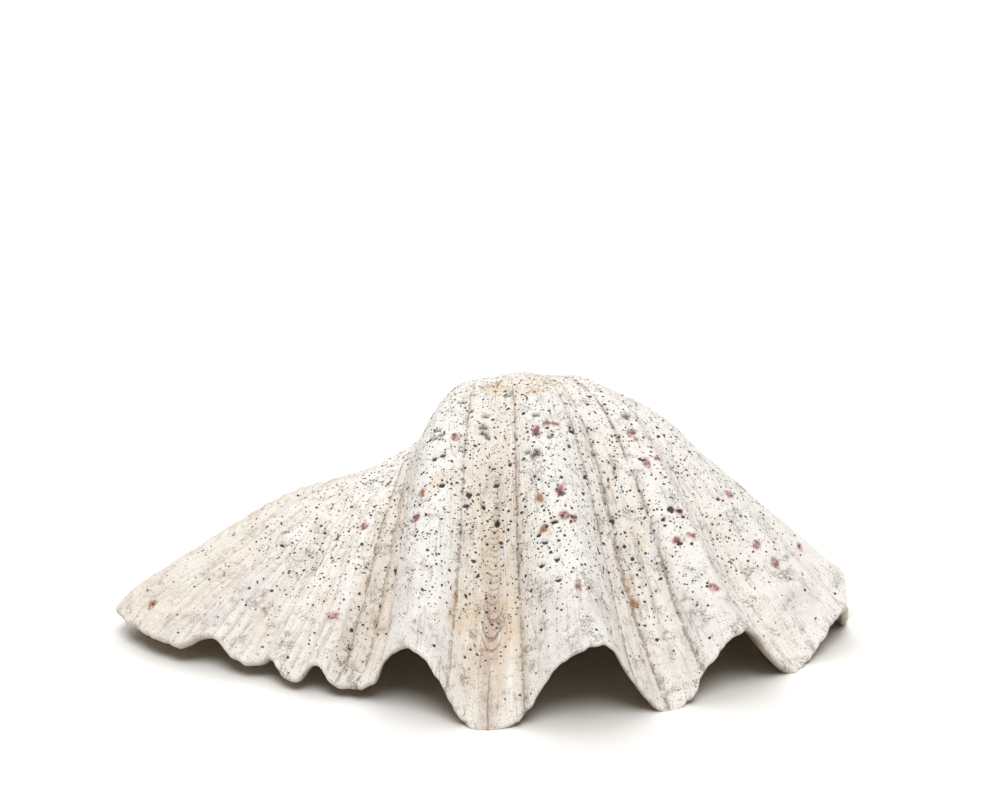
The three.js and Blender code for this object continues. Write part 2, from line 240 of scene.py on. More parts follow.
class ShellSettings(bpy.types.PropertyGroup):
    """Sizes and colours of the valve."""

    riblet_height: height_setting(
        "Riblet height", "Height of the small ribs that ride on the folds", 0.45, 1.5)
    furrow_depth: height_setting(
        "Furrow depth", "Depth of the furrows beside the trough floors", 1.3, 3)
    ledge_height: height_setting("Growth ledge height", "Step at each old growth edge", 0.55, 2)
    lump_height: height_setting("Lump height", "Slow waviness of the worn surface", 0.5, 2)
    pit_depth: height_setting("Pit depth", "Depth of the larger bore pits", 1.6, 3)
    chalk: colour_setting("Chalk", "Colour of the worn ridges", (0.92, 0.90, 0.87))
    cream: colour_setting("Cream", "Colour of the trough floors", (0.74, 0.625, 0.50))
    lilac: colour_setting("Lilac", "Faint tint near the margin's arches", (0.77, 0.69, 0.725))
    blush: colour_setting("Blush", "Pinkish cream of the long wing", (0.87, 0.79, 0.71))
    amber: colour_setting(
        "Amber", "Orange-brown stain of the umbo and the deep troughs", (0.82, 0.62, 0.40))
    rust: colour_setting("Rust", "Rusty spots", (0.30, 0.115, 0.04))
    maroon: colour_setting("Maroon", "Reddish purple spots", (0.27, 0.055, 0.075))
    # The same brown draws the seam's lines and the hinge bands' rings, darkens the furrows' creases
    # and the wing's grooves, and paints a soft band of shade beside each furrow.
    grime_and_shade: colour_setting("Grime", "Brown grime in the creases", (0.24, 0.165, 0.12))
    ash: colour_setting("Ash", "Grey-brown of the shallow pits", (0.105, 0.085, 0.065))
    pit: colour_setting("Pit", "Colour down in the bore pits", (0.04, 0.028, 0.02))
    # Painted shade: a dark warm brown on the inner face stands for the shade in the hollow; the
    # shell's own inside is pale.
    inside: colour_setting("Inside", "Colour of the smooth inner face", (0.37, 0.29, 0.195))


class StudioSettings(bpy.types.PropertyGroup):
    """Floor and lights of the studio."""

    floor: colour_setting("Floor", "Colour of the floor", (0.95, 0.94, 0.93))
    overhead: bpy.props.FloatProperty(
        name="Overhead light", description="Strength of the wide soft light from above",
        default=1.65, min=0.0)
    spread: bpy.props.FloatProperty(
        name="Overhead spread", description="How wide the overhead light is, seen from the shell",
        default=math.radians(80), min=0.0, max=math.pi, subtype="ANGLE")
    front: bpy.props.FloatProperty(
        name="Front light", description="Strength of the soft light high in front",
        default=1.75, min=0.0)
    room: bpy.props.FloatProperty(
        name="Room light", description="Strength of the even light from all round",
        default=0.28, min=0.0, max=4.0)
    glow: colour_setting(
        "Room glow", "Warm colour of the even light from all round", (1.0, 0.86, 0.69))


# The shell's shape

def smooth(value):
    """3t^2 - 2t^3 of the value held between 0 and 1."""
    t = np.clip(value, 0.0, 1.0)
    return t * t * (3 - 2 * t)


def margin_knots():
    """Distance along the margin's plan to each station, and once round."""
    places = np.array([place for _, place in MARGIN.values()], float)
    chords = np.hypot(*(np.roll(places, -1, axis=0) - places)[:, :2].T)
    return dict(zip(MARGIN, np.cumsum(chords) - chords)), chords.sum()


KNOTS, MARGIN_LENGTH = margin_knots()


def closed_curve(names, values, q):
    """Cubic Hermite curve once round through a value at each named station.

    The tangent at a knot is the chord between its neighbours over their distance.
    """
    knots = np.array([KNOTS[name] for name in names])
    values = np.array(values, float).reshape(len(names), -1)
    k = np.concatenate([knots - MARGIN_LENGTH, knots, knots + MARGIN_LENGTH])
    v = np.concatenate([values, values, values])
    i = np.searchsorted(k, np.mod(q, MARGIN_LENGTH), side="right") - 1
    span = (k[i + 1] - k[i])[:, None]
    s = (np.mod(q, MARGIN_LENGTH) - k[i])[:, None] / span
    leave = (v[i + 1] - v[i - 1]) / (k[i + 1] - k[i - 1])[:, None] * span
    arrive = (v[i + 2] - v[i]) / (k[i + 2] - k[i])[:, None] * span
    return ((2 * s**3 - 3 * s**2 + 1) * v[i] + (s**3 - 2 * s**2 + s) * leave
            + (3 * s**2 - 2 * s**3) * v[i + 1] + (s**3 - s**2) * arrive)


def through_margin(q, keep=lambda fold, name: True):
    """The curve through the places of the stations that are kept."""
    names = [name for name, (fold, _) in MARGIN.items() if keep(fold, name)]
    return closed_curve(names, [MARGIN[name][1] for name in names], q)


def fold_at(q):
    """The curve through the stations' folds: -1 at the bottom of a trough, 1 on a crest."""
    folds = closed_curve(list(MARGIN), [fold for fold, _ in MARGIN.values()], q)
    return np.clip(folds[:, 0], -FOLD_LIMIT, FOLD_LIMIT)


class Meridians:
    """The lines from the margin to the beak at the distances q, as Bezier handles."""

    def __init__(self, q):
        low = through_margin(q, lambda fold, name: fold <= TROUGH_FOLD or name[0] == "D")
        high = through_margin(q, lambda fold, name: fold >= RIDGE_FOLD or name[0] == "D")
        climb = closed_curve(list(CLIMB), [(rise, *crown) for rise, crown in CLIMB.values()], q)
        foot = (low + high) / 2
        first = foot + np.column_stack([(BEAK - foot)[:, :2] * CLIMB_PULL, climb[:, 0]])
        self.handles = (foot, first, BEAK + climb[:, 1:], BEAK + 0 * foot)
        self.scallop = through_margin(q) - foot
        self.fold = fold_at(q)
        self.depth = np.linalg.norm(high - low, axis=1) / 2

    def points(self, u):
        """Cubic Bezier at the shares u of the way up: one row of points for each u."""
        t = np.asarray(u)[:, None, None]
        a, b, c, d = self.handles
        return (1 - t)**3 * a + 3 * (1 - t)**2 * t * b + 3 * (1 - t) * t**2 * c + t**3 * d


def outward(q, u):
    """Unit cross product of the way along the margin and the way up, on the unfolded shell."""
    du, dq = 0.01, 0.5
    held = np.minimum(u, 1 - du)
    along = Meridians(q + dq).points(held) - Meridians(q - dq).points(held)
    here = Meridians(q)
    up = here.points(np.minimum(u + du, 1 - du)) - here.points(np.maximum(u - du, 0))
    normal = np.cross(along, up)
    return normal / np.linalg.norm(normal, axis=2, keepdims=True)


def lattice_noise(points, cell, seed):
    """Smooth value noise from -1 to 1: hashed values at lattice corners, blended smoothly."""
    at = np.asarray(points, float) / cell
    low = np.floor(at).astype(np.int64)
    t = at - low
    t = t * t * (3 - 2 * t)
    total = np.zeros(at.shape[:-1])
    for corner in np.ndindex(2, 2, 2):
        n = low + np.array(corner)
        mixed = (n[..., 0] * 73856093) ^ (n[..., 1] * 19349663) ^ (n[..., 2] * 83492791)
        mixed = (mixed ^ (seed * 2654435761)) & 0xFFFFFFFF
        mixed = ((mixed ^ (mixed >> 15)) * 2246822519) & 0xFFFFFFFF
        mixed = ((mixed ^ (mixed >> 13)) * 3266489917) & 0xFFFFFFFF
        value = (mixed ^ (mixed >> 16)) / 0xFFFFFFFF * 2 - 1
        weight = np.prod(np.where(np.array(corner) == 1, t, 1 - t), axis=-1)
        total += weight * value
    return total


def furrow_lines(q, width):
    """Sum of bell curves of the distance to each furrow."""
    return sum(np.exp(-((q - KNOTS[name] - offset) / width)**2) for name, offset in FURROWS)


def furrow_distance(q):
    """How far each q lies from the nearest furrow, in mm."""
    return np.min([np.abs(q - KNOTS[name] - offset) for name, offset in FURROWS], axis=0)


def solid_relief(q, u, fold, settings):
    """Riblets, furrows, growth ledges and lumps, as the solid has them, in mm.

    Riblets are a cosine of q, furrows bell curves along the trough floors, ledges a
    step at each growth edge that dies away above it, and lumps a product of two sines.
    """
    front = on_front(q)
    on_trough = 1 - (1 - RIDGE_RIBLETS) * smooth((fold + 0.4) / 1.2)
    riblets = (settings.riblet_height / MM * on_trough * (1 - u)**2
               * np.cos(2 * np.pi * (q - KNOTS["T5"]) / RIBLET_PITCH))
    furrows = furrow_lines(q, GROOVE_WIDTH) * settings.furrow_depth / MM * (1 - u)**2
    ledges = sum(smooth((u - edge + LEDGE_STEP) / (2 * LEDGE_STEP))
                 * np.exp(-np.maximum(u - edge, 0) / LEDGE_TAIL)
                 for edge in LEDGES) * settings.ledge_height / MM
    lumps = (settings.lump_height / MM * np.sin(q / 17 + 9 * u) * np.sin(11 * u + q / 29)
             * (1 - u**3))
    return front * (riblets - furrows + ledges) + lumps


def wing_grooves(q, u, points):
    """0 to 1 in the wing's narrow grooves: the cube of how close a wandering sine of q is to 0."""
    wander = lattice_noise(points, 14.0, 3)
    groove = (1 - np.abs(np.sin(np.pi * q / WING_GROOVE_PITCH + 0.8 * wander)))**3
    return groove * smooth(q / 20) * smooth((KNOTS["S4"] - q) / 25) * (1 - u)**1.5


def on_front(q):
    """1 on the folded front, fading to 0 over its last 20 mm at both ends."""
    return smooth((KNOTS["T8"] - q) / 20) * smooth(q / 20)


def on_hinge_side(q):
    """0 on the folded front, 1 behind, smooth between."""
    return smooth((q - KNOTS["D1"] + 8) / 20) * smooth((MARGIN_LENGTH - q) / 15)


def hinge_relief(q, u, wander):
    """The hinge side's growth ledges, a squared sine of u, less the ligament's bell curve."""
    ledges = np.maximum(np.sin(2 * np.pi * (u + 0.012 * wander) / HINGE_LEDGE_PITCH), 0)**2
    ledges = 0.4 * ledges * smooth((0.92 - u) / 0.3)
    along = smooth((q - KNOTS["D3"]) / 12) * smooth((KNOTS["D6"] - q) / 12)
    groove = np.exp(-((u - HINGE_GROOVE - 0.008 * np.sin(q / 9)) / 0.012)**2) * along
    return (ledges - groove) * on_hinge_side(q)


def fine_relief(q, u, fold, points):
    """What is too fine for the solid, in mm.

    A sharp crease in each furrow, hair-fine striae, crisp grooves along the wing, growth lines
    whose height follows a sine of u, scaly beads down the middle of the deepest trough, the
    hinge side's own relief, and noise at three sizes.
    """
    front = on_front(q)
    creases = 0.55 * furrow_lines(q, CREASE_WIDTH) * (1 - u)
    wander = lattice_noise(points, 14.0, 3)
    striae = 0.16 * np.cos(2 * np.pi * q / STRIA_PITCH + 1.5 * wander) * (1 - u)**1.5
    troughs = smooth((0.3 - fold) / 1.0)
    lines = np.sin(2 * np.pi * (u + 0.012 * wander) / GROWTH_LINE_PITCH)
    growth = 0.12 * np.maximum(lines, 0)**2 * (0.35 + 0.65 * troughs) * smooth((0.75 - u) / 0.3)
    middle = np.exp(-((q - KNOTS["T5"]) / BEAD_WIDTH)**2)
    beads = (0.5 * middle * (0.5 + 0.5 * np.sin(2 * np.pi * u / BEAD_PITCH))
             * smooth((u - 0.06) / 0.08) * smooth((0.62 - u) / 0.2))
    rough = (0.34 * lattice_noise(points, 9.0, 5) + 0.2 * lattice_noise(points, 4.0, 7)
             + 0.1 * lattice_noise(points, 1.9, 11))
    cut = creases + 0.55 * wing_grooves(q, u, points)
    shaped = front * (striae - cut + growth + beads) + hinge_relief(q, u, wander)
    return shaped + rough * (0.6 + 0.4 * front)


def folded(q, u, keep):
    """The shell with its folds: scallops near the margin turn into folds along the normal."""
    lines = Meridians(q)
    normal = outward(q, u)
    share = u[:, None, None]
    near_margin = smooth(1 - share / SCALLOP_REACH)
    fade = (1 - share)**FOLD_FADE * keep
    heights = (lines.fold * lines.depth)[None, :, None]
    points = (lines.points(u) + fade * near_margin * lines.scallop
              + fade * (1 - near_margin) * heights * normal)
    return points, normal


def through_wall(points, wall):
    """Each point moved through the wall towards the hollow: aside by its offset, and down."""
    aside = (HOLLOW_MIDDLE - points[..., :2]) / HOLLOW_SPAN
    down = np.full_like(points[..., :1], -HOLLOW_SINK)
    towards = np.concatenate([aside, down], axis=-1)
    return points + wall * towards / np.linalg.norm(towards, axis=-1, keepdims=True)


def outer_grid(q, u, settings):
    """Rows of points over the outer face, with its relief, and the direction it faces."""
    points, normal = folded(q, u, 1.0)
    qq, uu = np.meshgrid(q, u)
    fold = np.broadcast_to(fold_at(q), uu.shape)
    height = solid_relief(qq, uu, fold, settings) + fine_relief(qq, uu, fold, points)
    return points + (height * smooth(uu / 0.04))[..., None] * normal, normal


def inner_grid(q, u):
    """Rows of points over the smooth inner face."""
    share = u[:, None, None]
    keep = 1 - INNER_FOLD_LOSS * smooth(share / INNER_FOLD_REACH)
    points, _ = folded(q, u, keep)
    return through_wall(points, RIM_WALL + (BODY_WALL - RIM_WALL) * smooth(share / WALL_GROWS_TO))


def rim_grid(q, turns):
    """The rounded rim, from the inner face's edge to the outer one: half an ellipse.

    It stands out from the chord between the two edges by the rim's rounding, away from the beak.
    """
    edge, above = folded(q, np.array([0.0, 0.02]), 1.0)[0]
    out = edge - above
    out /= np.linalg.norm(out, axis=1, keepdims=True)
    under = inner_grid(q, np.array([0.0]))[0]
    angle = np.asarray(turns)[:, None, None]
    chord = (edge + under) / 2 - np.cos(angle) * (edge - under) / 2
    return chord + np.sin(angle) * RIM_ROUND * out


def nibble_margin(grid, reach, q, u):
    """Small nibbles out of the margin: points near it slip back along the way up."""
    edge = through_margin(q)
    bites = np.maximum(lattice_noise(edge, CHIP_SIZE, 17), -0.2)
    bites = 0.8 * bites + 0.85 * lattice_noise(edge, NICK_SIZE, 19)
    front = smooth((KNOTS["T8"] - q) / 20) * smooth((q + 20) / 20)
    slip = (bites * front)[None, :, None] * smooth(1 - u / reach)[:, None, None]
    back = BEAK - edge
    back /= np.linalg.norm(back, axis=1, keepdims=True)
    return grid + slip * back[None]


def columns(front_pitch, back_pitch):
    """Distances along the margin: one at each station and furrow, and even ones between."""
    fixed = list(KNOTS.values()) + [KNOTS[name] + offset for name, offset in FURROWS]
    ends = sorted(fixed) + [MARGIN_LENGTH]
    stretches = []
    for start, stop in zip(ends, ends[1:]):
        pitch = front_pitch if start < KNOTS["D1"] else back_pitch
        steps = max(1, round((stop - start) / pitch))
        stretches.append(start + (stop - start) * np.arange(steps) / steps)
    return np.concatenate(stretches)


def closed_skin(width, rings):
    """Faces of a closed skin: a pole, rings of one width, a pole, with a fan round each pole."""
    column = np.arange(width)
    after = (column + 1) % width
    ring = 1 + np.arange(rings - 1)[:, None] * width
    quads = np.stack([ring + column, ring + after, ring + width + after, ring + width + column],
                     axis=-1).reshape(-1, 4)
    top = 1 + (rings - 1) * width
    first = np.stack([0 * column, 1 + after, 1 + column], axis=-1)
    last = np.stack([top + column, top + after, np.full(width, 1 + rings * width)], axis=-1)
    return quads.tolist() + first.tolist() + last.tolist()


# Reading the photograph's marks onto the shell

def pixels_of(points):
    """Where the camera sees points in mm: columns x, y in pixels, and the distance ahead."""
    pitch = math.radians(CAMERA_PITCH)
    ahead = np.array([0.0, math.cos(pitch), -math.sin(pitch)])
    upward = np.array([0.0, math.sin(pitch), math.cos(pitch)])
    away = points - CAMERA_PLACE
    distance = away @ ahead
    focal = LENS / SENSOR * FRAME_WIDTH
    x = FRAME_WIDTH / 2 + focal * away[..., 0] / distance
    y = FRAME_HEIGHT / 2 - focal * (away @ upward) / distance
    return np.stack([x, y, distance], axis=-1)


def place_on_shell(x, y, points, seen):
    """The grid point at a pixel: of those closest to it, the one nearest the camera."""
    off = np.hypot(seen[..., 0] - x, seen[..., 1] - y)
    ahead = np.where(off < off.min() + SIGHT_WIDTH, seen[..., 2], np.inf)
    return points[np.unravel_index(np.argmin(ahead), ahead.shape)]


def marks_mask(marks, points, seen, seed, ragged, edge):
    """0 to 1 over each mark: an ellipse across and along the shell with a ragged edge.

    Its reach is the distance over the mark's radii, plus noise, and the mask falls from 1 to 0
    over the width of the edge around a reach of 1.
    """
    rough = ragged * lattice_noise(points, 1.6, seed)
    mask = np.zeros(points.shape[:-1])
    for x, y, across, along in marks:
        centre = place_on_shell(x, y, points, seen)
        up = BEAK + TO_FOOTPRINT_MIDDLE - centre
        up /= np.linalg.norm(up)
        away = points - centre
        rise = away @ up
        aside = np.linalg.norm(away - rise[..., None] * up, axis=-1)
        reach = np.hypot(aside / across, rise / along) + rough
        mask = np.maximum(mask, smooth((1 + edge / 2 - reach) / edge))
    return mask


def cream_share(q, fold):
    """0 to 1: how cream the shell is, by the stations on either side, and more in troughs."""
    strength = np.interp(q, [KNOTS[name] for name in CREAM], list(CREAM.values()),
                         period=MARGIN_LENGTH)
    return strength * smooth((0.35 - fold) / 1.25)


def build_valve(settings):
    """The valve's mesh: an inner face, a rounded rim and an outer face, closed at two poles."""
    q = columns(FRONT_COLUMNS, BACK_COLUMNS)
    inner_u = np.linspace(0.96, 0.0, INNER_ROWS)
    outer_u = np.concatenate([np.linspace(0.0, 0.34, MARGIN_ROWS),
                              np.linspace(0.347, 0.975, UPPER_ROWS)])
    turns = np.linspace(0, np.pi, RIM_ROWS + 2)[1:-1]
    inner = nibble_margin(inner_grid(q, inner_u), 0.05, q, inner_u)
    rim = nibble_margin(rim_grid(q, turns), 1.0, q, np.zeros(len(turns)))
    outer, normal = outer_grid(q, outer_u, settings)
    outer = nibble_margin(outer, 0.05, q, outer_u) + TO_FOOTPRINT_MIDDLE
    seen = pixels_of(outer)
    bowls = marks_mask(PITS, outer, seen, 29, ragged=0.15, edge=0.45)
    ashy = marks_mask(ASHY, outer, seen, 30, ragged=0.3, edge=0.5)
    sunk = settings.pit_depth / MM * np.maximum(bowls, 0.5 * ashy)
    outer = outer - sunk[..., None] * normal
    poles = np.stack([through_wall(BEAK, BODY_WALL), BEAK]) + TO_FOOTPRINT_MIDDLE
    rings = np.concatenate([inner + TO_FOOTPRINT_MIDDLE, rim + TO_FOOTPRINT_MIDDLE, outer])
    points = np.concatenate([poles[:1], rings.reshape(-1, 3), poles[1:]])
    points[:, 2] = np.maximum(points[:, 2], 0.0)

    mesh = bpy.data.meshes.new("shell_skin")
    mesh.from_pydata(points * MM, [], closed_skin(len(q), len(rings)))
    mesh.shade_smooth()

    before = len(inner) + len(rim)
    qq, uu = np.meshgrid(q, np.concatenate([inner_u, 0 * turns, outer_u]))
    inside = np.concatenate([np.ones(len(inner)), np.linspace(1, 0, len(rim) + 2)[1:-1],
                             np.zeros(len(outer))])
    layers = {"fold": fold_at(q), "cream": cream_share(q, fold_at(q)), "hinge": on_hinge_side(q),
              "furrow_off": furrow_distance(q), "way_up": uu, "inside": inside[:, None]}
    masks = {"bowl": bowls, "ashy": ashy,
             "groove": wing_grooves(qq[before:], uu[before:], outer - TO_FOOTPRINT_MIDDLE)}
    for name, marks, seed, ragged, edge in (
            ("rust", RUST, 31, 0.5, 0.9), ("maroon", MAROON, 32, 0.5, 0.9),
            ("amber", AMBER, 33, 0.6, 1.2), ("violet", VIOLET, 34, 0.6, 1.4)):
        masks[name] = marks_mask(marks, outer, seen, seed, ragged, edge)
    for name, mask in masks.items():
        layers[name] = np.concatenate([np.zeros((before, len(q))), mask])
    for name, values in layers.items():
        values = np.broadcast_to(values, qq.shape)
        layer = mesh.attributes.new(name, "FLOAT", "POINT")
        ends = (values[0].mean(), values[-1].mean())
        layer.data.foreach_set("value", np.concatenate(
            [[ends[0]], np.ravel(values), [ends[1]]]).astype(np.float32))
    add_shell_map(mesh, qq / MARGIN_LENGTH, uu)
    return mesh


def add_shell_map(mesh, around, up):
    """UV map on the shell's own lines: around the margin, and up to the beak.

    A corner past the seam gets the value once round more, so no face runs back across the map.
    """
    around = np.concatenate([[0.5], np.ravel(around), [0.5]])
    up = np.concatenate([[up[0, 0]], np.ravel(up), [1.0]])
    corner = np.empty(len(mesh.loops), np.int32)
    mesh.loops.foreach_get("vertex_index", corner)
    starts = np.empty(len(mesh.polygons), np.int32)
    mesh.polygons.foreach_get("loop_start", starts)
    face = np.repeat(np.arange(len(starts)), np.diff(np.append(starts, len(corner))))
    across = around[corner]
    highest = np.maximum.reduceat(across, starts)[face]
    across = np.where(highest - across > 0.5, across + 1.0, across)
    layer = mesh.uv_layers.new(name="shell_lines")
    layer.data.foreach_set("uv", np.column_stack([across, up[corner]]).ravel().astype(np.float32))


# Finishes

class NodeSheet:
    """Adds nodes to a tree and wires them, so that a finish reads as a list of steps."""

    def __init__(self, tree):
        self.tree = tree

    def add(self, kind, inputs=None, **values):
        """A node with its own values set, and a wire or a plain value in each named input."""
        node = self.tree.nodes.new(kind)
        for name, value in values.items():
            setattr(node, name, value)
        for name, value in (inputs or {}).items():
            self.feed(node.inputs[name], value)
        return node

    def feed(self, socket, value):
        if isinstance(value, bpy.types.NodeSocket):
            self.tree.links.new(value, socket)
        else:
            socket.default_value = value

    def math(self, operation, a, b=0.0, clamp=False):
        node = self.add("ShaderNodeMath", {0: a, 1: b}, operation=operation, use_clamp=clamp)
        return node.outputs[0]

    def plus(self, a, b):
        return self.math("ADD", a, b)

    def minus(self, a, b):
        return self.math("SUBTRACT", a, b)

    def times(self, *factors):
        return reduce(lambda a, b: self.math("MULTIPLY", a, b), factors)

    def highest(self, *masks):
        return reduce(lambda a, b: self.math("MAXIMUM", a, b), masks)

    def ramp(self, value, low, high):
        """0 at low, 1 at high, smooth between."""
        node = self.add("ShaderNodeMapRange", {"Value": value, "From Min": low, "From Max": high},
                        interpolation_type="SMOOTHSTEP")
        return node.outputs["Result"]

    def blend(self, mask, below, above):
        return self.add("ShaderNodeMix", {0: mask, 6: below, 7: above},
                        data_type="RGBA").outputs[2]

    def noise(self, place, scale, detail=3.0, roughness=0.6):
        node = self.add("ShaderNodeTexNoise", {
            "Vector": place, "Scale": scale, "Detail": detail, "Roughness": roughness})
        return node.outputs["Fac"]

    def bent(self, place, scale, detail, middle, reach):
        """The place plus coloured noise, less its middle, times the reach."""
        push = self.add("ShaderNodeTexNoise", {"Vector": place, "Scale": scale, "Detail": detail})
        push = self.add("ShaderNodeVectorMath", {0: push.outputs["Color"], 1: (middle,) * 3},
                        operation="SUBTRACT")
        push = self.add("ShaderNodeVectorMath", {0: push.outputs[0], "Scale": reach},
                        operation="SCALE")
        return self.add("ShaderNodeVectorMath", {0: place, 1: push.outputs[0]}).outputs[0]

    def layer(self, name):
        return self.add("ShaderNodeAttribute", attribute_name=name).outputs["Fac"]


def node_group(name, inputs, outputs):
    """An empty shader node group: each input with its default number, or None for a place."""
    group = bpy.data.node_groups.new(name, "ShaderNodeTree")
    for socket, default in inputs.items():
        kind = "NodeSocketVector" if default is None else "NodeSocketFloat"
        made = group.interface.new_socket(socket, in_out="INPUT", socket_type=kind)
        if default is not None:
            made.default_value = default
    for socket in outputs:
        group.interface.new_socket(socket, in_out="OUTPUT", socket_type="NodeSocketFloat")
    sheet = NodeSheet(group)
    return group, sheet, sheet.add("NodeGroupInput").outputs, sheet.add("NodeGroupOutput").inputs


def bore_pits_group():
    """Round pinholes of many sizes: the distance to the points of a scattered lattice.

    A cell has a hole only where its own random value is below the share, and the hole's radius
    follows another one, so that the holes differ in size.
    """
    group, sheet, given, result = node_group("Bore pits", {
        "Place": None, "Cells per metre": 300.0, "Share": 0.5, "Radius": 0.2}, ["Mask"])
    cells = sheet.add("ShaderNodeTexVoronoi", {
        "Vector": given["Place"], "Scale": given["Cells per metre"]})
    chance = sheet.add("ShaderNodeSeparateColor", {"Color": cells.outputs["Color"]})
    kept = sheet.math("LESS_THAN", chance.outputs["Red"], given["Share"])
    size = sheet.plus(sheet.times(chance.outputs["Green"], 0.75), 0.4)
    radius = sheet.times(size, given["Radius"])
    hole = sheet.ramp(sheet.math("DIVIDE", cells.outputs["Distance"], radius), 1.1, 0.75)
    sheet.feed(result["Mask"], sheet.times(hole, kept))
    return group


def crackle_group():
    """Hairline cracks: where the two nearest points of a scattered lattice are equally far.

    Only the stretches show where the patches and the amount together are high.
    """
    group, sheet, given, result = node_group("Crackle", {
        "Place": None, "Patches": 0.5, "Cells per metre": 300.0, "Width": 0.06, "Amount": 0.5,
    }, ["Mask"])
    cells = sheet.add("ShaderNodeTexVoronoi", {
        "Vector": given["Place"], "Scale": given["Cells per metre"]}, feature="DISTANCE_TO_EDGE")
    line = sheet.ramp(sheet.math("DIVIDE", cells.outputs["Distance"], given["Width"]), 1.0, 0.2)
    shown = sheet.ramp(sheet.plus(given["Patches"], given["Amount"]), 0.95, 1.1)
    sheet.feed(result["Mask"], sheet.times(line, shown))
    return group


def seam_group():
    """The deepest trough's middle: U-shaped old tips, small chevrons and a soft brown band.

    The middle wanders with noise on the way up. A level rises with the way up and falls with the
    square of the distance from the middle, so each value of it draws one U. Old tips show where
    the level is close to theirs, chevrons where a sine of the level is high.
    """
    group, sheet, given, result = node_group("Seam", {"Lines": None}, ["Mask", "Band"])
    split = sheet.add("ShaderNodeSeparateXYZ", {"Vector": given["Lines"]})
    up = split.outputs["Y"]
    drift = sheet.add("ShaderNodeMapping", {"Vector": given["Lines"], "Scale": (0.0, 32.0, 1.0)})
    wander = sheet.times(sheet.minus(sheet.noise(drift.outputs[0], 1.0), 0.5), 2.4)
    off = sheet.times(sheet.minus(split.outputs["X"], KNOTS["T5"] / MARGIN_LENGTH), MARGIN_LENGTH)
    off = sheet.math("ABSOLUTE", sheet.plus(off, wander))
    level = sheet.minus(up, sheet.times(sheet.math("POWER", off, 2.0), SEAM_BEND))
    gaps = [sheet.math("ABSOLUTE", sheet.minus(level, edge)) for edge in OLD_TIPS]
    tips = sheet.highest(*(sheet.ramp(gap, 0.0042, 0.0012) for gap in gaps))
    tips = sheet.times(tips, sheet.ramp(off, 4.6, 3.2))
    wave = sheet.math("SINE", sheet.times(level, 2 * math.pi / CHEVRON_PITCH))
    chevrons = sheet.times(sheet.ramp(wave, 0.1, 0.9), sheet.ramp(off, 2.6, 1.0),
                           sheet.ramp(up, 0.16, 0.19), sheet.ramp(up, 0.55, 0.35), 0.7)
    thread = sheet.times(sheet.ramp(off, 0.45, 0.1), sheet.ramp(up, 0.12, 0.07))
    sheet.feed(result["Mask"], sheet.highest(tips, chevrons, thread))
    sheet.feed(result["Band"], sheet.times(sheet.ramp(off, 5.0, 0.8), sheet.ramp(up, 0.4, 0.15)))
    return group


